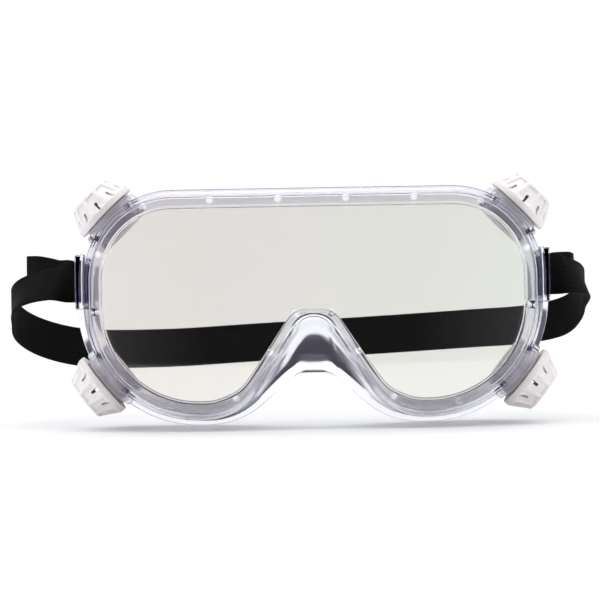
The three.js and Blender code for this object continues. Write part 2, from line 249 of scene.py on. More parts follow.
def math_node(tree, operation, *terms):
    """The output of a Math node. Each term is a number or another node's output."""
    node = add_node(tree, "ShaderNodeMath", operation=operation)
    for socket, term in zip(node.inputs, terms):
        if isinstance(term, (int, float)):
            socket.default_value = term
        else:
            tree.links.new(term, socket)
    return node.outputs[0]


def moulded_surface_group():
    """Roughness and normal of a moulding, from its base roughness, ripple and grain depths."""
    group, given, made = new_group(
        "moulded_surface",
        [
            ("Roughness", "NodeSocketFloat", 0.2),
            ("Roughness Spread", "NodeSocketFloat", 0.05),
            ("Ripple Size", "NodeSocketFloat", 60.0),
            ("Ripple Depth", "NodeSocketFloat", 0.0002),
            ("Grain Size", "NodeSocketFloat", 1500.0),
            ("Grain Depth", "NodeSocketFloat", 0.00001),
        ],
        [("Roughness", "NodeSocketFloat"), ("Normal", "NodeSocketVector"), ("Patches", "NodeSocketFloat")],
    )
    link = group.links.new
    place = add_node(group, "ShaderNodeTexCoord")
    ripple = add_node(group, "ShaderNodeTexNoise", {"Detail": 2.0, "Roughness": 0.45})
    grain = add_node(group, "ShaderNodeTexNoise", {"Detail": 3.0, "Roughness": 0.6})
    patches = add_node(group, "ShaderNodeTexNoise", {"Scale": 90.0, "Detail": 4.0})
    for noise, size in ((ripple, "Ripple Size"), (grain, "Grain Size"), (patches, None)):
        link(place.outputs["Object"], noise.inputs["Vector"])
        if size:
            link(given.outputs[size], noise.inputs["Scale"])
    low = add_node(group, "ShaderNodeBump", {"Strength": 1.0})
    high = add_node(group, "ShaderNodeBump", {"Strength": 1.0})
    link(ripple.outputs["Fac"], low.inputs["Height"])
    link(given.outputs["Ripple Depth"], low.inputs["Distance"])
    link(grain.outputs["Fac"], high.inputs["Height"])
    link(given.outputs["Grain Depth"], high.inputs["Distance"])
    link(low.outputs["Normal"], high.inputs["Normal"])
    shifted = math_node(group, "SUBTRACT", patches.outputs["Fac"], 0.5)
    limits = (given.outputs["Roughness Spread"], given.outputs["Roughness"])
    link(math_node(group, "MULTIPLY_ADD", shifted, *limits), made.inputs["Roughness"])
    link(high.outputs["Normal"], made.inputs["Normal"])
    link(patches.outputs["Fac"], made.inputs["Patches"])
    return group


MOULDED_SURFACE = moulded_surface_group()
print("group", MOULDED_SURFACE.name)

# %% [markdown]
# ## Finishes
# Clear plastic is a glass shader with a tint: light goes through, bends at each face and loses a
# little. Soft vinyl also scatters some violet light inside, which shows against black, so a
# little violet diffuse shader is mixed in. The lens is harder, smoother and slightly grey.

# %% Finish helpers
def new_material(name):
    material = bpy.data.materials.new(name)
    material.use_nodes = True
    tree = material.node_tree
    principled = tree.nodes["Principled BSDF"]
    return material, tree, principled


def place_surface(tree, principled, **sizes):
    """Puts the moulded surface group in a material, with this finish's own sizes."""
    surface = add_node(tree, "ShaderNodeGroup", node_tree=MOULDED_SURFACE)
    for label, value in sizes.items():
        surface.inputs[label.replace("_", " ").title()].default_value = value
    tree.links.new(surface.outputs["Roughness"], principled.inputs["Roughness"])
    tree.links.new(surface.outputs["Normal"], principled.inputs["Normal"])
    return surface


# %% Clear vinyl
def clear_vinyl():
    material, tree, clear = new_material("clear_vinyl")
    clear.inputs["Base Color"].default_value = (0.985, 0.985, 0.99, 1)
    clear.inputs["IOR"].default_value = 1.46
    clear.inputs["Transmission Weight"].default_value = 1.0
    place_surface(
        tree, clear, roughness=0.08, roughness_spread=0.05, ripple_size=55.0,
        ripple_depth=0.05 * MM, grain_size=900.0, grain_depth=0.003 * MM,
    )
    haze = add_node(tree, "ShaderNodeBsdfPrincipled")
    haze.inputs["Base Color"].default_value = (0.2, 0.12, 0.95, 1)
    haze.inputs["Roughness"].default_value = 0.5
    haze.inputs["Specular IOR Level"].default_value = 0.0
    blend = add_node(tree, "ShaderNodeMixShader", {0: 0.022})
    tree.links.new(clear.outputs[0], blend.inputs[1])
    tree.links.new(haze.outputs[0], blend.inputs[2])
    tree.links.new(blend.outputs[0], tree.nodes["Material Output"].inputs["Surface"])
    return material


# %% Clear polycarbonate
def clear_polycarbonate():
    material, tree, clear = new_material("clear_polycarbonate")
    clear.inputs["IOR"].default_value = 1.5
    clear.inputs["Transmission Weight"].default_value = 1.0
    place = add_node(tree, "ShaderNodeTexCoord")
    parts = add_node(tree, "ShaderNodeSeparateXYZ")
    across = add_node(tree, "ShaderNodeMapRange", {"From Min": lens_low.x, "From Max": lens_high.x})
    tint = add_node(tree, "ShaderNodeValToRGB")
    tint.color_ramp.elements[0].color = (0.775, 0.73, 0.695, 1)
    tint.color_ramp.elements[1].color = (0.765, 0.775, 0.72, 1)
    tree.links.new(place.outputs["Object"], parts.inputs[0])
    tree.links.new(parts.outputs["X"], across.inputs["Value"])
    tree.links.new(across.outputs["Result"], tint.inputs["Fac"])
    tree.links.new(tint.outputs["Color"], clear.inputs["Base Color"])
    place_surface(
        tree, clear, roughness=0.02, roughness_spread=0.02, ripple_size=18.0,
        ripple_depth=0.06 * MM, grain_size=2500.0, grain_depth=0.0,
    )
    return material


# %% White polypropylene
def white_polypropylene():
    material, tree, white = new_material("white_polypropylene")
    white.inputs["Subsurface Weight"].default_value = 0.25
    white.inputs["Subsurface Radius"].default_value = (1.0, 0.7, 0.6)
    white.inputs["Subsurface Scale"].default_value = 1.2 * MM
    surface = place_surface(
        tree, white, roughness=0.32, roughness_spread=0.12, ripple_size=160.0,
        ripple_depth=0.08 * MM, grain_size=2200.0, grain_depth=0.006 * MM,
    )
    tint = add_node(tree, "ShaderNodeValToRGB")
    tint.color_ramp.elements[0].position = 0.3
    tint.color_ramp.elements[0].color = (0.86, 0.79, 0.8, 1)
    tint.color_ramp.elements[1].position = 0.7
    tint.color_ramp.elements[1].color = (0.93, 0.9, 0.9, 1)
    tree.links.new(surface.outputs["Patches"], tint.inputs["Fac"])
    tree.links.new(tint.outputs["Color"], white.inputs["Base Color"])
    return material


# %% [markdown]
# ## Elastic webbing
# The headband is woven: fine lengthwise cords with rubber in them, crossed by threads that show
# as small steps. The piece's own UV map says how far a point is across and along the strap, in
# widths, so the weave follows every bend.

# %% Black elastic
CORDS_ACROSS = 18
PICKS_PER_WIDTH = 24


def black_elastic():
    material, tree, cloth = new_material("black_elastic")
    link = tree.links.new
    cloth.inputs["Specular IOR Level"].default_value = 0.08
    uv = add_node(tree, "ShaderNodeUVMap", uv_map="strap")
    parts = add_node(tree, "ShaderNodeSeparateXYZ")
    link(uv.outputs[0], parts.inputs[0])
    cord_phase = math_node(tree, "MULTIPLY", parts.outputs["X"], CORDS_ACROSS)
    pick_phase = math_node(tree, "MULTIPLY", parts.outputs["Y"], PICKS_PER_WIDTH)
    row = math_node(tree, "FLOOR", cord_phase)
    staggered = math_node(tree, "MULTIPLY_ADD", row, 0.5, pick_phase)
    cord_wave = math_node(tree, "PINGPONG", cord_phase, 1.0)
    pick_wave = math_node(tree, "PINGPONG", staggered, 0.5)
    height = math_node(tree, "MULTIPLY", cord_wave, pick_wave)
    fibres = add_node(tree, "ShaderNodeTexNoise", {"Scale": 2600.0, "Detail": 2.0})
    place = add_node(tree, "ShaderNodeTexCoord")
    link(place.outputs["Object"], fibres.inputs["Vector"])
    fuzzy = math_node(tree, "MULTIPLY_ADD", fibres.outputs["Fac"], 0.25, height)
    bump = add_node(tree, "ShaderNodeBump", {"Strength": 0.8, "Distance": 0.12 * MM})
    link(fuzzy, bump.inputs["Height"])
    link(bump.outputs["Normal"], cloth.inputs["Normal"])
    # Painted shade: the black is darker in the dips of the weave and lighter on its crests, following the
    # same height as the bump. The fibre noise adds a random tone of the yarn.
    weave_painted_shade = add_node(tree, "ShaderNodeValToRGB")
    weave_painted_shade.color_ramp.elements[0].color = (0.0012, 0.0012, 0.0014, 1)
    weave_painted_shade.color_ramp.elements[1].color = (0.0075, 0.0075, 0.0082, 1)
    link(fuzzy, weave_painted_shade.inputs["Fac"])
    link(weave_painted_shade.outputs["Color"], cloth.inputs["Base Color"])
    rough = math_node(tree, "MULTIPLY_ADD", fibres.outputs["Fac"], 0.2, 0.62)
    link(rough, cloth.inputs["Roughness"])
    return material


VINYL = clear_vinyl()
POLYCARBONATE = clear_polycarbonate()
POLYPROPYLENE = white_polypropylene()
ELASTIC = black_elastic()
print("finishes", [m.name for m in (VINYL, POLYCARBONATE, POLYPROPYLENE, ELASTIC)])

# %% [markdown]
# ## The outline
# Seen from the front, the rim has full upper corners, rounder lower ones and a nose arch: straight
# lines joined by round arcs. The face flange behind it is a wider outline of the same kind with a
# shallower arch. Both are cut into the same number of steps, so that a point on one matches a
# point on the other and the side wall can be swept between them.

# %% Outline
OUTLINE_STEPS = (24, 34, 5, 34, 2, 26, 16, 20, 1)
RIM_SHAPE = dict(
    half_width=RIM_HALF_WIDTH, half_height=RIM_HALF_HEIGHT, corner=32 * MM, lobe_x=38.5 * MM,
    lobe_radius=22 * MM, flank=math.radians(57), arch_radius=6 * MM, arch_flat=0.4 * MM,
)
FLANGE_SHAPE = dict(
    half_width=FLANGE_HALF_WIDTH, half_height=FLANGE_HALF_HEIGHT, corner=36 * MM,
    lobe_x=39.5 * MM, lobe_radius=32 * MM, flank=math.radians(42), arch_radius=6 * MM,
    arch_flat=3.5 * MM,
)


def line(start, end, steps):
    return [start + (end - start) * (i / steps) for i in range(steps)]


def arc(centre, radius, start, end, steps):
    points = []
    for i in range(steps):
        angle = start + (end - start) * i / steps
        points.append(centre + radius * np.array((math.cos(angle), math.sin(angle))))
    return points


def outline(half_width, half_height, corner, lobe_x, lobe_radius, flank, arch_radius, arch_flat):
    """Points round an outline, clockwise from the middle of the top, about the middle."""
    top, upper, end, lower, bottom, lobe, side, arch, flat = OUTLINE_STEPS
    quarter = math.pi / 2
    end_x = half_width - half_height
    corner_centre = np.array((half_width - corner, half_height - corner))
    lobe_centre = np.array((lobe_x, lobe_radius - half_height))
    lobe_end = -quarter - flank
    flank_start = lobe_centre + lobe_radius * np.array((math.cos(lobe_end), math.sin(lobe_end)))
    flank_end_x = arch_flat + arch_radius * math.sin(flank)
    rise = (flank_start[0] - flank_end_x) * math.tan(flank)
    flank_end = np.array((flank_end_x, flank_start[1] + rise))
    arch_centre = np.array((arch_flat, flank_end[1] - arch_radius * math.cos(flank)))
    apex = arch_centre[1] + arch_radius
    right = line(np.array((0, half_height)), np.array((corner_centre[0], half_height)), top)
    right += arc(corner_centre, corner, quarter, 0, upper)
    right += line(np.array((half_width, corner_centre[1])), np.array((half_width, 0)), end)
    right += arc(np.array((end_x, 0)), half_height, 0, -quarter, lower)
    right += line(np.array((end_x, -half_height)), np.array((lobe_x, -half_height)), bottom)
    right += arc(lobe_centre, lobe_radius, -quarter, lobe_end, lobe)
    right += line(flank_start, flank_end, side)
    right += arc(arch_centre, arch_radius, quarter - flank, quarter, arch)
    right += line(np.array((arch_flat, apex)), np.array((0, apex)), flat)
    right.append(np.array((0, apex)))
    left = [point * (-1, 1) for point in right[1:-1]]
    return np.array(right + left[::-1])


def outward_normals(points):
    ahead = np.roll(points, -1, axis=0) - np.roll(points, 1, axis=0)
    normals = np.stack((-ahead[:, 1], ahead[:, 0]), axis=1)
    return normals / np.linalg.norm(normals, axis=1, keepdims=True)


RIM = outline(**RIM_SHAPE)
RIM_NORMALS = outward_normals(RIM)
FLANGE = outline(**FLANGE_SHAPE)
print("outline of", len(RIM), "points, nose arch at", round(RIM[len(RIM) // 2][1] / MM, 1), "mm")

# %% [markdown]
# ## The frame moulding
# One cross-section of the frame is a closed polygon: the front lip that holds the lens in, the
# side wall, the thin flange that lies on the face, the inner wall and the groove for the lens.
# It is swept round the outline. The front is bowed, and the rear edge follows a face: deepest at
# the temples and well forward over the nose.

# %% Frame cross-section
FRONT_BOW = 6 * MM
DEPTH_AT_BROW = 36 * MM
DEPTH_AT_TEMPLE = 47 * MM
NOSE_REACH = 17 * MM
NOSE_SPREAD = 20 * MM
NOSE_CURVE = 1.6
LIP_WIDTH = 6.7 * MM
LIP_THICKNESS = 2 * MM
NOSE_LIP_LOSS = 1.9 * MM
NOSE_LIP_SPREAD = 24 * MM
ARCH_LIP_LOSS = 1.5 * MM
ARCH_LIP_SPREAD = 3.5 * MM
BACK_LIP_LOSS = 0.8 * MM
BACK_LIP_THICKNESS = 1.5 * MM
WALL_THICKNESS = 2.2 * MM
GROOVE_BOTTOM = 1.9 * MM
GROOVE_BACK = 4.6 * MM
WALL_FLARE = 0.25
FLARE_START = 0.85
FLANGE_THICKNESS = 1.4 * MM
EDGE_ROUND = 0.7 * MM
BEAD_WIDTH = 1.2 * MM
BEAD_HEIGHT = 0.35 * MM


def bow(x):
    return FRONT_BOW * (x / RIM_HALF_WIDTH) ** 2


def nose_share(point):
    return math.exp(-((point[0] / NOSE_SPREAD) ** 2)) if point[1] < 0 else 0.0


def lip_width(point):
    """The lip is narrower over the nose, and narrowest at the top of the arch."""
    if point[1] > 0:
        return LIP_WIDTH
    over_nose = NOSE_LIP_LOSS * math.exp(-((point[0] / NOSE_LIP_SPREAD) ** 6))
    over_arch = ARCH_LIP_LOSS * math.exp(-((point[0] / ARCH_LIP_SPREAD) ** 2))
    return LIP_WIDTH - over_nose - over_arch


def rear_depth(point):
    side = (point[0] / RIM_HALF_WIDTH) ** 2
    face = DEPTH_AT_BROW + (DEPTH_AT_TEMPLE - DEPTH_AT_BROW) * side
    return face - NOSE_REACH * nose_share(point)


def front_point(i, offset, depth):
    """A point of the bowed front, offset outwards from the rim's outline."""
    flat = RIM[i] + RIM_NORMALS[i] * offset
    return np.array((flat[0], depth + bow(flat[0]), flat[1]))


def wall_point(i, share, inset):
    """A point of the side wall, from the rim at share 0 to the flange's edge at share 1."""
    nose = nose_share(RIM[i])
    bent = WALL_FLARE * FLARE_START
    steep = bent + (1 - bent) * (share - FLARE_START) / (1 - FLARE_START)
    side = WALL_FLARE * share if share <= FLARE_START else steep
    out = side + (share ** NOSE_CURVE - side) * nose
    flat = RIM[i] + (FLANGE[i] - RIM[i]) * out - RIM_NORMALS[i] * inset
    start = bow(RIM[i][0]) + EDGE_ROUND
    depth = start + (rear_depth(RIM[i]) - start) * share
    return np.array((flat[0], depth, flat[1]))


def flange_point(i, depth):
    return np.array((FLANGE[i][0], rear_depth(RIM[i]) + depth, FLANGE[i][1]))


def frame_section(i):
    """The polygon at one step of the outline, and how far each corner is eased."""
    lip_back = GROOVE_BACK + BACK_LIP_THICKNESS
    lip = lip_width(RIM[i])
    corners = [
        (front_point(i, -lip, 0), 0.7),
        (front_point(i, -lip + 0.6 * BEAD_WIDTH, 0), 0.3),
        (front_point(i, -lip + BEAD_WIDTH, BEAD_HEIGHT), 0.3),
        (front_point(i, -1.1 * BEAD_WIDTH, BEAD_HEIGHT), 0.3),
        (front_point(i, -0.8 * BEAD_WIDTH, 0), 0.3),
        (front_point(i, 0, 0), 0.9),
        (wall_point(i, 0.3, 0), 3),
        (wall_point(i, 0.6, 0), 3),
        (wall_point(i, FLARE_START, 0), 3),
        (flange_point(i, -FLANGE_THICKNESS), 0.5),
        (flange_point(i, 0), 0.5),
        (wall_point(i, 0.9, WALL_THICKNESS), 2),
        (wall_point(i, 0.6, WALL_THICKNESS), 3),
        (wall_point(i, 0.35, WALL_THICKNESS), 3),
        (front_point(i, -WALL_THICKNESS, lip_back + 1 * MM), 1.2),
        (front_point(i, -lip + BACK_LIP_LOSS, lip_back), 0.6),
        (front_point(i, -lip + BACK_LIP_LOSS, GROOVE_BACK), 0.4),
        (front_point(i, -GROOVE_BOTTOM, GROOVE_BACK), 0.3),
        (front_point(i, -GROOVE_BOTTOM, LIP_THICKNESS), 0.3),
        (front_point(i, -lip, LIP_THICKNESS), 0.4),
    ]
    return soft_corners([c for c, _ in corners], [r * MM for _, r in corners], steps=3)


def frame_sweep():
    rings = [frame_section(i) for i in range(len(RIM))]
    verts = [Vector(p) + MIDDLE for ring in rings for p in ring]
    return make_object("goggle_frame_moulding", verts, ring_faces(len(rings), len(rings[0]), True))


moulding = frame_sweep()
print("swept", len(moulding.data.polygons), "faces")

# %% [markdown]
# ## Valve bosses, strap tabs and pegs
# The moulding also carries a thick round boss for each valve, a slotted tab at each temple on a
# short web from the flange, and a ring of small pegs that go through holes in the lens. Booleans
# join on the bosses, tabs and webs. The pegs repeat along a path, so Geometry Nodes place them:
# points are taken from the path at the shares of its length that a small mesh holds, and one peg
# is put on each.

# %% Valve places
# Each valve's angle round the middle of its end of the frame, and how far out its boss ends.
VENTS = {
    "upper_left": (45, 45.3 * MM),
    "upper_right": (135, 45.3 * MM),
    "lower_right": (218.5, 43.3 * MM),
    "lower_left": (321.5, 43.3 * MM),
}
VENT_DEPTH = 26 * MM
BOSS_THICKNESS = 6 * MM
BOSS_RADIUS = 11.7 * MM
VENT_HOLE_RADIUS = 9.25 * MM


def vent_matrix(vent):
    """Turns +Z to a valve's axis, with the origin on the outer face of its boss."""
    angle, face = VENTS[vent]
    axis = Vector((math.cos(math.radians(angle)), 0, math.sin(math.radians(angle))))
    centre = MIDDLE + Vector((math.copysign(END_X, axis.x), VENT_DEPTH, 0)) + axis * face
    return Matrix.Translation(centre) @ Vector((0, 0, 1)).rotation_difference(axis).to_matrix().to_4x4()


def at_vents(name, verts, faces):
    """One object that holds a copy of a shape at every valve."""
    all_verts = []
    all_faces = []
    for vent in VENTS:
        matrix = vent_matrix(vent)
        shift = len(all_verts)
        all_verts += [matrix @ Vector(v) for v in verts]
        all_faces += [tuple(j + shift for j in face) for face in faces]
    return make_object(name, all_verts, all_faces)


def add_bosses():
    ease = 0.6 * MM
    rim_profile = soft_corners(
        [(1 * MM, -BOSS_THICKNESS), (BOSS_RADIUS, -BOSS_THICKNESS), (BOSS_RADIUS, 0), (1 * MM, 0)],
        [0, ease, ease, 0],
    )
    solid = [(0, rim_profile[0][1])] + rim_profile + [(0, rim_profile[-1][1])]
    cut_or_join(moulding, at_vents("bosses", *turned(solid, 96)), "UNION")
    hole = [(0, -15 * MM), (VENT_HOLE_RADIUS, -15 * MM), (VENT_HOLE_RADIUS, 5 * MM), (0, 5 * MM)]
    cut_or_join(moulding, at_vents("holes", *turned(hole, 96)), "DIFFERENCE")


add_bosses()
print("with bosses", len(moulding.data.polygons), "faces")

# %% Strap tabs
WEB_INNER = 82.6 * MM
WEB_BACK = 49 * MM
TAB_INNER = 84.4 * MM
TAB_THICKNESS = 3 * MM
TAB_HALF_HEIGHT = 10 * MM
TAB_START = 45 * MM
TAB_END = 63.5 * MM
LUG_HEIGHT = 8.3 * MM
FRONT_SLOT = 50.5 * MM
REAR_SLOT = 58.5 * MM
SLOT_HALF_WIDTH = 1.25 * MM
SLOT_HALF_HEIGHT = 8.1 * MM


def plate(name, side, outline_points, low_x, high_x, ease=0.0):
    """A plate across X from an outline of (depth, height), with its edges eased by a bevel."""
    size = len(outline_points)
    verts = []
    for x in (low_x, high_x):
        for depth, height in outline_points:
            verts.append(MIDDLE + Vector((side * x, depth, height + LUG_HEIGHT)))
    piece = make_object(name, verts, ring_faces(2, size, closed=False, capped=True))
    if ease:
        bevel = piece.modifiers.new("ease", "BEVEL")
        bevel.width = ease
        bevel.segments = 3
        bevel.angle_limit = math.radians(50)
        apply_modifiers(piece)
    return piece


def box_outline(low, high, half_height):
    return [(low, -half_height), (high, -half_height), (high, half_height), (low, half_height)]


def add_tabs():
    corner = 3 * MM
    tab = soft_corners(box_outline(TAB_START, TAB_END, TAB_HALF_HEIGHT), [0, corner, corner, 0], 6)
    for side in (-1, 1):
        outer = TAB_INNER + TAB_THICKNESS
        cut_or_join(moulding, plate("tab", side, tab, TAB_INNER, outer, 0.5 * MM), "UNION")
        for depth in (FRONT_SLOT, REAR_SLOT):
            slot = box_outline(depth - SLOT_HALF_WIDTH, depth + SLOT_HALF_WIDTH, SLOT_HALF_HEIGHT)
            slot = soft_corners(slot, 0.8 * MM, 3)
            cutter = plate("slot", side, slot, TAB_INNER - 1 * MM, outer + 4 * MM)
            cut_or_join(moulding, cutter, "DIFFERENCE")
        web = box_outline(TAB_START, WEB_BACK, TAB_HALF_HEIGHT)
        cut_or_join(moulding, plate("web", side, web, WEB_INNER, outer, 0.5 * MM), "UNION")


add_tabs()
print("with tabs", len(moulding.data.polygons), "faces")

# %% Pegs by Geometry Nodes
PEG_SHARES = (0.055, 0.165, 0.275, 0.385, 0.48, 0.585, 0.69, 0.8, 0.894, 0.969)
PEG_INSET = 3.7 * MM
PEG_RADIUS = 1 * MM


def peg_path():
    """A closed curve through the peg places, clockwise from the middle of the top."""
    places = [front_point(i, -PEG_INSET, 0) for i in range(0, len(RIM), 2)]
    places.append(places[0])
    curve = bpy.data.curves.new("peg_path", "CURVE")
    curve.dimensions = "3D"
    spline = curve.splines.new("POLY")
    spline.points.add(len(places) - 1)
    for point, place in zip(spline.points, places):
        point.co = (*(Vector(place) + MIDDLE), 1)
    return add_object("peg_path", curve)


def peg_shares():
    """A mesh of loose points. Each one's X is a peg's share of the way round the path."""
    right = [share / 2 for share in PEG_SHARES]
    shares = right + [1 - share for share in right]
    mesh = bpy.data.meshes.new("peg_shares")
    mesh.from_pydata([(share, 0, 0) for share in shares], [], [])
    return add_object("peg_shares", mesh)


def spread_tree():
    """Puts a copy of a shape at each share of a path's length, and makes them one mesh."""
    tree = bpy.data.node_groups.new("spread_along_path", "GeometryNodeTree")
    sockets = {}
    for label, kind in (
        ("Path", "NodeSocketObject"), ("Shares", "NodeSocketObject"),
        ("Shape", "NodeSocketObject"), ("Material", "NodeSocketMaterial"),
    ):
        sockets[label] = tree.interface.new_socket(label, in_out="INPUT", socket_type=kind).identifier
    tree.interface.new_socket("Geometry", in_out="OUTPUT", socket_type="NodeSocketGeometry")
    given = tree.nodes.new("NodeGroupInput")
    made = tree.nodes.new("NodeGroupOutput")
    place = tree.nodes.new("GeometryNodeInputPosition")
    parts = tree.nodes.new("ShaderNodeSeparateXYZ")
    sample = add_node(tree, "GeometryNodeSampleCurve", mode="FACTOR")
    moved = tree.nodes.new("GeometryNodeSetPosition")
    copies = tree.nodes.new("GeometryNodeInstanceOnPoints")
    real = tree.nodes.new("GeometryNodeRealizeInstances")
    finish = tree.nodes.new("GeometryNodeSetMaterial")
    link = tree.links.new
    source = {}
    for label in ("Path", "Shares", "Shape"):
        reader = tree.nodes.new("GeometryNodeObjectInfo")
        link(given.outputs[label], reader.inputs["Object"])
        source[label] = reader.outputs["Geometry"]
    link(place.outputs["Position"], parts.inputs["Vector"])
    link(source["Path"], sample.inputs["Curves"])
    link(parts.outputs["X"], sample.inputs["Factor"])
    link(source["Shares"], moved.inputs["Geometry"])
    link(sample.outputs["Position"], moved.inputs["Position"])
    link(moved.outputs["Geometry"], copies.inputs["Points"])
    link(source["Shape"], copies.inputs["Instance"])
    link(copies.outputs["Instances"], real.inputs["Geometry"])
    link(real.outputs["Geometry"], finish.inputs["Geometry"])
    link(given.outputs["Material"], finish.inputs["Material"])
    link(finish.outputs["Geometry"], made.inputs["Geometry"])
    return tree, sockets


def spread(name, path, shares, shape, material):
    """The mesh that the tree makes, as a plain object. The helpers are deleted."""
    tree, sockets = spread_tree()
    piece = add_object(name, bpy.data.meshes.new(name))
    modifier = piece.modifiers.new("spread", "NODES")
    modifier.node_group = tree
    values = {"Path": path, "Shares": shares, "Shape": shape, "Material": material}
    for label, value in values.items():
        modifier[sockets[label]] = value
    apply_modifiers(piece)
    for helper in (path, shares, shape):
        bpy.data.objects.remove(helper)
    return piece


def peg_shape(radius, low, high, dimple):
    """A round peg along +Y with a dimple in its front end, as a moulding pin leaves."""
    corners = [(0, low), (radius, low), (radius, high), (0, high)]
    eased = soft_corners(corners, [0, 0.2 * MM, 0.2 * MM, 0], 3)
    eased[0] = np.array((0, low + dimple))
    verts, faces = turned(eased, 24)
    return make_object("peg", [(x, z, y) for x, y, z in verts], faces)


def add_pegs():
    low = LIP_THICKNESS - 0.5 * MM
    high = GROOVE_BACK + 0.8 * MM
    shape = peg_shape(PEG_RADIUS, low, high, 0.3 * MM)
    pegs = spread("pegs", peg_path(), peg_shares(), shape, VINYL)
    cut_or_join(moulding, pegs, "UNION")


add_pegs()
finish_piece(moulding, "goggles", VINYL, ["goggle_frame"], 35)

# %% [markdown]
# ## The lens
# The lens is one sheet of clear polycarbonate, cut to the outline of the groove and bent round
# the face. A bent slab is crossed with a straight prism of the outline, and the peg holes are
# drilled by a ring of cutters from the same Geometry Nodes tree.

# %% Lens
LENS_THICKNESS = 2 * MM
LENS_FRONT = 2.3 * MM
PEG_HOLE_RADIUS = 1.35 * MM


def bent_slab(half_width, half_height, front, thickness, steps):
    rings = []
    for i in range(steps + 1):
        x = -half_width + 2 * half_width * i / steps
        near = front + bow(x)
        far = near + thickness
        corners = ((near, -half_height), (near, half_height), (far, half_height), (far, -half_height))
        rings.append([MIDDLE + Vector((x, y, z)) for y, z in corners])
    verts = [v for ring in rings for v in ring]
    return make_object("lens_sheet", verts, ring_faces(steps + 1, 4, closed=False, capped=True))


def outline_prism(offset, near, far):
    flat = RIM + RIM_NORMALS * offset
    verts = [MIDDLE + Vector((x, y, z)) for y in (near, far) for x, z in flat]
    return make_object("prism", verts, ring_faces(2, len(flat), closed=False, capped=True))


def add_lens():
    sheet = bent_slab(84 * MM, 44 * MM, LENS_FRONT, LENS_THICKNESS, 160)
    cut_or_join(sheet, outline_prism(-LENS_INSET, -10 * MM, 30 * MM), "INTERSECT")
    cutter = peg_shape(PEG_HOLE_RADIUS, -4 * MM, 12 * MM, 0)
    holes = spread("lens_holes", peg_path(), peg_shares(), cutter, POLYCARBONATE)
    cut_or_join(sheet, holes, "DIFFERENCE")
    finish_piece(sheet, "goggles", POLYCARBONATE, ["lens"], 30)


add_lens()

# %% [markdown]
# ## The valves
# Each valve has three pieces: a body pressed through the boss, with a grid inside and a neck
# outside; a baffle that stands on the grid; and a hollow fluted cap that snaps over the neck. The
# body and the cap are turned shapes. The cap's flutes come from moving each point of the cone in
# by a wave round the axis, and its slots and the holes in the grid are cut.

# %% Valve body
FIT_GAP = 0.3 * MM
BODY_FLANGE_RADIUS = 11.4 * MM
BODY_FLANGE_THICKNESS = 1.6 * MM
GRID_THICKNESS = 1 * MM
SLEEVE_RADIUS = 8.95 * MM
NECK_RADIUS = 8.2 * MM
NECK_BORE = 7 * MM
NECK_TOP = 3.4 * MM
TURN_STEPS = 96


def flat_ring(count, radius, height):
    """Points evenly spaced on a circle."""
    angles = [2 * math.pi * (i + 0.5) / count for i in range(count)]
    return [Vector((radius * math.cos(a), radius * math.sin(a), height)) for a in angles]


def drill_tool(radius, low, high, sides, places):
    """A bundle of round bars along Z, one at each place."""
    verts = []
    faces = []
    shape, shape_faces = turned([(0, low), (radius, low), (radius, high), (0, high)], sides)
    for place in places:
        shift = len(verts)
        verts += [Vector(v) + place for v in shape]
        faces += [tuple(j + shift for j in face) for face in shape_faces]
    return make_object("drill", verts, faces)


def valve_body(name):
    top = -BOSS_THICKNESS - FIT_GAP
    bottom = top - BODY_FLANGE_THICKNESS
    floor = bottom + GRID_THICKNESS
    corners = [
        (0.01 * MM, bottom, 0), (BODY_FLANGE_RADIUS, bottom, 0.5), (BODY_FLANGE_RADIUS, top, 0.4),
        (SLEEVE_RADIUS, top, 0.2), (SLEEVE_RADIUS, FIT_GAP, 0.1), (10.2 * MM, FIT_GAP, 0.2),
        (9.4 * MM, 1.1 * MM, 0.2), (NECK_RADIUS, 1.1 * MM, 0.2), (NECK_RADIUS, 2.4 * MM, 0.3),
        (8.55 * MM, 2.9 * MM, 0.3), (NECK_RADIUS, NECK_TOP, 0.3), (NECK_BORE, NECK_TOP, 0.3),
        (NECK_BORE, floor, 0.3), (0.01 * MM, floor, 0),
    ]
    profile = soft_corners([c[:2] for c in corners], [c[2] * MM for c in corners], 3)
    piece = make_object(name, *turned([(0, bottom)] + profile[1:-1] + [(0, floor)], TURN_STEPS))
    holes = flat_ring(6, 2.6 * MM, 0) + flat_ring(12, 5.2 * MM, 0) + [Vector((0, 0, 0))]
    tool = drill_tool(0.85 * MM, bottom - 1 * MM, floor + 1 * MM, 20, holes)
    cut_or_join(piece, tool, "DIFFERENCE")
    return piece


# %% Baffle
def valve_baffle(name):
    low = -3 * MM
    corners = [(0.01 * MM, low), (6.4 * MM, low), (6.4 * MM, low + 1 * MM), (0.01 * MM, low + 1 * MM)]
    profile = soft_corners(corners, [0, 0.3 * MM, 0.3 * MM, 0], 3)
    profile = [(0, low)] + profile[1:-1] + [(0, low + 1 * MM)]
    piece = make_object(name, *turned(profile, TURN_STEPS))
    foot = GRID_THICKNESS - BODY_FLANGE_THICKNESS - BOSS_THICKNESS
    legs = drill_tool(0.7 * MM, foot, low + 0.5 * MM, 20, flat_ring(3, 5 * MM, 0))
    cut_or_join(piece, legs, "UNION")
    return piece


# %% Fluted cap
CAP_BASE_RADIUS = 12 * MM
CAP_FACE_RADIUS = 7.7 * MM
CAP_BORE = 8.9 * MM
CAP_BOTTOM = 1.4 * MM
CAP_TOP = 10.9 * MM
CAP_RING = 2.2 * MM
FLUTE_COUNT = 10
FLUTE_DEPTH = 0.9 * MM
SLOT_WIDTH = 1.1 * MM
SLOT_LENGTH = 3 * MM
SLOT_MIDDLE = 5.2 * MM
CAP_STEPS = 240


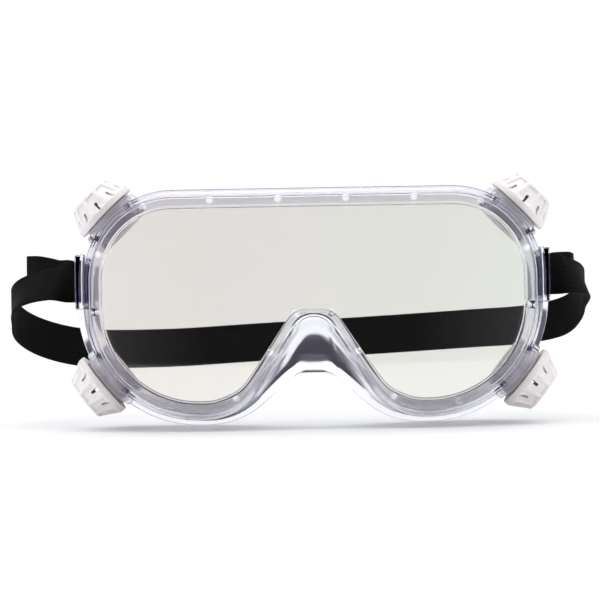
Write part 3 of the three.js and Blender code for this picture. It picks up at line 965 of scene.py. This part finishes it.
def cap_profile():
    corners = [
        (CAP_BORE, CAP_BOTTOM, 0.2), (CAP_BASE_RADIUS, CAP_BOTTOM, 0.3),
        (CAP_BASE_RADIUS, CAP_BOTTOM + CAP_RING, 0.5), (CAP_FACE_RADIUS + 0.3 * MM, CAP_TOP, 0.5),
        (CAP_FACE_RADIUS - 1.2 * MM, CAP_TOP, 0.3), (CAP_FACE_RADIUS - 1.6 * MM, CAP_TOP - 0.25 * MM, 0.3),
        (0, CAP_TOP - 0.25 * MM, 0), (0, CAP_TOP - 1.4 * MM, 0), (6.6 * MM, CAP_TOP - 1.4 * MM, 0.4),
        (CAP_BORE, CAP_TOP - 6 * MM, 0.4),
    ]
    eased = soft_corners([c[:2] for c in corners], [c[2] * MM for c in corners], 4)
    # The cone is cut into short steps, so that the flutes have points to move.
    profile = []
    for i, point in enumerate(eased):
        profile.append(point)
        after = eased[(i + 1) % len(eased)]
        length = np.linalg.norm(after - point)
        on_cone = point[0] > CAP_FACE_RADIUS and length > 2 * MM and after[1] > point[1] + MM
        for k in range(1, 16 if on_cone else 1):
            profile.append(point + (after - point) * k / 16)
    return profile


def flute_depth(angle, height):
    """How far the cone is moved in: flat-bottomed flutes between narrow ribs."""
    wave = 0.5 - 0.5 * math.cos(FLUTE_COUNT * angle)
    across = min(1.0, wave / 0.35)
    across = across * across * (3 - 2 * across)
    low = CAP_BOTTOM + CAP_RING + 0.2 * MM
    high = CAP_TOP - 0.7 * MM
    rise = min(1.0, max(0.0, (height - low) / (0.9 * MM)))
    fall = min(1.0, max(0.0, (high - height) / (0.6 * MM)))
    return FLUTE_DEPTH * across * rise * fall


def valve_cap(name):
    verts, faces = turned(cap_profile(), CAP_STEPS)
    shaped = []
    for x, y, z in verts:
        radius = math.hypot(x, y)
        rise = (z - CAP_BOTTOM) / (CAP_TOP - CAP_BOTTOM)
        cone = CAP_BASE_RADIUS + (CAP_FACE_RADIUS - CAP_BASE_RADIUS) * rise
        outside = radius > cone - 0.8 * MM and z > CAP_BOTTOM + 0.5 * CAP_RING
        moved = radius - flute_depth(math.atan2(y, x), z) if outside else radius
        share = moved / radius if radius > 0 else 1
        shaped.append((x * share, y * share, z))
    piece = make_object(name, shaped, faces)
    cut_or_join(piece, slot_tool(), "DIFFERENCE")
    return piece


def slot_tool():
    """A ring of rounded bars that cut the slots through the cap's wall near its base."""
    verts = []
    faces = []
    section = soft_corners(
        [(-SLOT_WIDTH / 2, -SLOT_LENGTH / 2), (SLOT_WIDTH / 2, -SLOT_LENGTH / 2),
         (SLOT_WIDTH / 2, SLOT_LENGTH / 2), (-SLOT_WIDTH / 2, SLOT_LENGTH / 2)],
        0.4 * MM, 3,
    )
    size = len(section)
    for i in range(FLUTE_COUNT):
        turn = Matrix.Rotation(2 * math.pi * (i + 0.5) / FLUTE_COUNT, 4, "Z")
        shift = len(verts)
        for x in (8 * MM, 14 * MM):
            verts += [turn @ Vector((x, y, z + SLOT_MIDDLE)) for y, z in section]
        faces += [tuple(j + shift for j in f) for f in ring_faces(2, size, False, True)]
    return make_object("slots", verts, faces)


# %% Valves in their places
def add_valves():
    masters = {"seat": valve_body("seat"), "baffle": valve_baffle("baffle"), "cap": valve_cap("cap")}
    for vent in VENTS:
        matrix = vent_matrix(vent)
        for kind, master in masters.items():
            piece = add_object(f"valve_{kind}_{vent}", master.data.copy())
            piece.data.transform(matrix)
            body = f"cap_{vent}" if kind == "cap" else "goggles"
            node = f"vent_{kind}_{vent}"
            finish_piece(piece, body, POLYPROPYLENE, [node], 35)
    for master in masters.values():
        bpy.data.objects.remove(master)


add_valves()

# %% [markdown]
# ## The headband
# One elastic strap, 15 mm wide. It starts at a free tail, goes in through the rear slot of a tab,
# round the bar and out of the front slot, loops round behind the goggles, and is woven through
# the other tab in the same way. Its route is a list of points, in millimetres from the middle of
# the front, joined by a smooth curve. Just outside each tab its upper edge leans towards the
# head. A cross-section with a fine rib for each cord is swept along the route.

# %% Strap route
STRAP_WIDTH = 15 * MM
STRAP_THICKNESS = 1.2 * MM
TAIL_RIGHT = [(-107, 70.5, 10.8), (-102.8, 65, 10.8), (-96.6, 60.6, 10), (-90, 58.9, 9)]
WOVEN = [
    (86.8, 58.5, 8.3), (84.6, 58.5, 8.3), (83.2, 57.7, 8.3), (82.8, 54.5, 8.3),
    (83.2, 51.3, 8.3), (84.6, 50.5, 8.3), (86.8, 50.5, 8.3),
]
LOOP = [
    (-90.4, 50.5, 8.3), (-94.4, 50.9, 8.1), (-100.4, 53.2, 7.3), (-107.4, 58.8, 5), (-112, 67, 1),
    (-113, 80, -6), (-106, 94, -12.6), (-90, 106, -17.6), (-60, 116, -18.8), (-20, 120, -17.2),
    (20, 119, -15.4), (60, 114, -13.2), (85, 105, -11.4), (97.4, 93, -8), (101.8, 80, -2.2),
    (102, 68, 3.2), (99.8, 57.4, 6.6), (94.4, 51.1, 8.1), (90.4, 50.5, 8.3),
]
TAIL_LEFT = [(90, 59.1, 8.8), (94.4, 61, 9.2), (97.4, 64.8, 9), (98.2, 69.5, 8.4)]
RIGHT_LEAN = math.radians(38)
LEFT_LEAN = math.radians(28)
LEAN_STARTS = (88, 96)
LEAN_FADES = (54, 72)


def strap_route():
    woven_right = [(-x, y, z) for x, y, z in WOVEN]
    return TAIL_RIGHT + woven_right + LOOP + WOVEN[::-1] + TAIL_LEFT


def smooth_route(points, step):
    """Evenly spaced points on a centripetal curve through a list of points."""
    points = [np.array(p, float) for p in points]
    points = [2 * points[0] - points[1]] + points + [2 * points[-1] - points[-2]]
    fine = []
    for i in range(1, len(points) - 2):
        p0, p1, p2, p3 = points[i - 1:i + 3]
        t1 = np.linalg.norm(p1 - p0) ** 0.5
        t2 = t1 + np.linalg.norm(p2 - p1) ** 0.5
        t3 = t2 + np.linalg.norm(p3 - p2) ** 0.5
        for k in range(60):
            t = t1 + (t2 - t1) * k / 60
            a1 = (t1 - t) / t1 * p0 + t / t1 * p1
            a2 = (t2 - t) / (t2 - t1) * p1 + (t - t1) / (t2 - t1) * p2
            a3 = (t3 - t) / (t3 - t2) * p2 + (t - t2) / (t3 - t2) * p3
            b1 = (t2 - t) / t2 * a1 + t / t2 * a2
            b2 = (t3 - t) / (t3 - t1) * a2 + (t - t1) / (t3 - t1) * a3
            fine.append((t2 - t) / (t2 - t1) * b1 + (t - t1) / (t2 - t1) * b2)
    fine.append(points[-2])
    fine = np.array(fine)
    run = np.concatenate(([0], np.cumsum(np.linalg.norm(np.diff(fine, axis=0), axis=1))))
    count = int(run[-1] / step)
    even = np.linspace(0, run[-1], count + 1)
    return np.stack([np.interp(even, run, fine[:, k]) for k in range(3)], axis=1), run[-1]


ROUTE, ROUTE_LENGTH = smooth_route(strap_route(), 0.8)
print("strap", round(ROUTE_LENGTH), "mm long,", len(ROUTE), "rings")

# %% Strap mesh
RIB_HEIGHT = 0.05 * MM
POINTS_PER_CORD = 4


def strap_section():
    """Points round the strap's cross-section as (across, up, u), one rib for each cord."""
    half = STRAP_WIDTH / 2
    thick = STRAP_THICKNESS / 2
    count = CORDS_ACROSS * POINTS_PER_CORD
    face = []
    for i in range(count + 1):
        u = i / count
        rib = RIB_HEIGHT * (abs(math.sin(math.pi * CORDS_ACROSS * u)) - 0.5)
        edge = min(1.0, min(u, 1 - u) / 0.03)
        rounding = thick * (0.35 + 0.65 * math.sqrt(1 - (1 - edge) ** 2))
        face.append((rounding + rib * edge, -half + STRAP_WIDTH * u, u))
    back = [(-across, up, u) for across, up, u in face[::-1]]
    return face + back


def smooth_share(value, low, high):
    share = min(1.0, max(0.0, (value - low) / (high - low)))
    return share * share * (3 - 2 * share)


def strap_lean(point, across):
    """How far the upper edge leans towards the head just outside a tab, fading round the bend."""
    outside = smooth_share(abs(point[0]), *LEAN_STARTS)
    fade = smooth_share(point[1], *LEAN_FADES)
    headward = 1 if across.y - math.copysign(across.x, point[0] * across.x) > 0 else -1
    return headward * (RIGHT_LEAN if point[0] < 0 else LEFT_LEAN) * outside * (1 - fade)


def strap_mesh():
    section = strap_section()
    verts = []
    uvs = []
    ahead = np.gradient(ROUTE, axis=0)
    along = 0.0
    for i, (point, direction) in enumerate(zip(ROUTE, ahead)):
        across = Vector((direction[1], -direction[0], 0)).normalized()
        lean = Matrix.Rotation(strap_lean(point, across), 3, Vector(direction).normalized())
        across = lean @ across
        upward = lean @ Vector((0, 0, 1))
        if i:
            along += np.linalg.norm(ROUTE[i] - ROUTE[i - 1]) * MM
        middle = MIDDLE + Vector(point) * MM
        for out, up, u in section:
            verts.append(middle + across * out + upward * up)
            uvs.append((u, along / STRAP_WIDTH))
    faces = ring_faces(len(ROUTE), len(section), closed=False, capped=True)
    return verts, faces, uvs


def add_strap():
    verts, faces, uvs = strap_mesh()
    mesh = bpy.data.meshes.new("headband_strap")
    mesh.from_pydata(verts, [], faces)
    layer = mesh.uv_layers.new(name="strap")
    for loop in mesh.loops:
        layer.data[loop.index].uv = uvs[loop.vertex_index]
    work = bmesh.new()
    work.from_mesh(mesh)
    if work.calc_volume(signed=True) < 0:
        bmesh.ops.reverse_faces(work, faces=work.faces)
    work.to_mesh(mesh)
    work.free()
    strap = add_object("headband_strap", mesh)
    nodes = ["headband", "strap_end_left", "strap_end_right"]
    finish_piece(strap, None, ELASTIC, nodes, 60)
    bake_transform(strap)


add_strap()

# %% [markdown]
# ## Floor, backdrop and light
# Clear plastic shows what is behind and around it, so the set matters: a white sweep that rises
# behind the goggles, a large soft light overhead and a weaker one on each side. The room straight
# in front is dark, so that the lens has little to reflect and the black strap behind it stays black.

# %% Stage
SWEEP_BACK = 1.3
SWEEP_FRONT = 0.6
SWEEP_HALF_WIDTH = 3.0
SWEEP_HEIGHT = 2.2
SWEEP_BEND = 0.6


def white_paper():
    material, tree, paper = new_material("white_paper")
    paper.inputs["Base Color"].default_value = (0.93, 0.93, 0.93, 1)
    paper.inputs["Roughness"].default_value = 0.8
    paper.inputs["Specular IOR Level"].default_value = 0.1
    return material


def add_sweep():
    profile = [(-SWEEP_FRONT, 0.0), (SWEEP_BACK - SWEEP_BEND, 0.0)]
    for i in range(1, 24):
        angle = math.pi / 2 * i / 24
        depth = SWEEP_BACK - SWEEP_BEND + SWEEP_BEND * math.sin(angle)
        profile.append((depth, SWEEP_BEND * (1 - math.cos(angle))))
    profile += [(SWEEP_BACK, SWEEP_BEND), (SWEEP_BACK, SWEEP_HEIGHT)]
    verts = [(x, y, z) for y, z in profile for x in (-SWEEP_HALF_WIDTH, SWEEP_HALF_WIDTH)]
    faces = [(2 * i, 2 * i + 1, 2 * i + 3, 2 * i + 2) for i in range(len(profile) - 1)]
    mesh = bpy.data.meshes.new("sweep")
    mesh.from_pydata(verts, [], faces)
    mesh.shade_smooth()
    sweep = add_object("sweep", mesh)
    mesh.materials.append(white_paper())


def add_area(name, place, size, power):
    data = bpy.data.lights.new(name, "AREA")
    data.shape = "RECTANGLE"
    data.size, data.size_y = size
    data.energy = power
    light = add_object(name, data)
    light.location = place
    light.rotation_euler = (-Vector(place)).to_track_quat("-Z", "Y").to_euler()


def add_world():
    world = bpy.data.worlds.new("room")
    world.use_nodes = True
    background = world.node_tree.nodes["Background"]
    background.inputs["Color"].default_value = (0.95, 0.97, 1.0, 1)
    tree = world.node_tree
    place = add_node(tree, "ShaderNodeTexCoord")
    parts = add_node(tree, "ShaderNodeSeparateXYZ")
    ahead = {"From Min": -0.985, "From Max": -0.9, "To Min": 0.06, "To Max": 0.72}
    strength = add_node(tree, "ShaderNodeMapRange", ahead)
    tree.links.new(place.outputs["Generated"], parts.inputs[0])
    tree.links.new(parts.outputs["Y"], strength.inputs["Value"])
    tree.links.new(strength.outputs["Result"], background.inputs["Strength"])
    scene.world = world


add_sweep()
add_world()
add_area("overhead", (0, 0.1, 1.5), (1.8, 1.4), 12.5)
add_area("left_side", (-1.3, -0.5, 0.8), (0.9, 1.2), 4.5)
add_area("right_side", (1.3, -0.5, 0.8), (0.9, 1.2), 3.5)
scene.view_settings.view_transform = "Standard"
scene.view_settings.look = "None"
print("stage and lights ready")
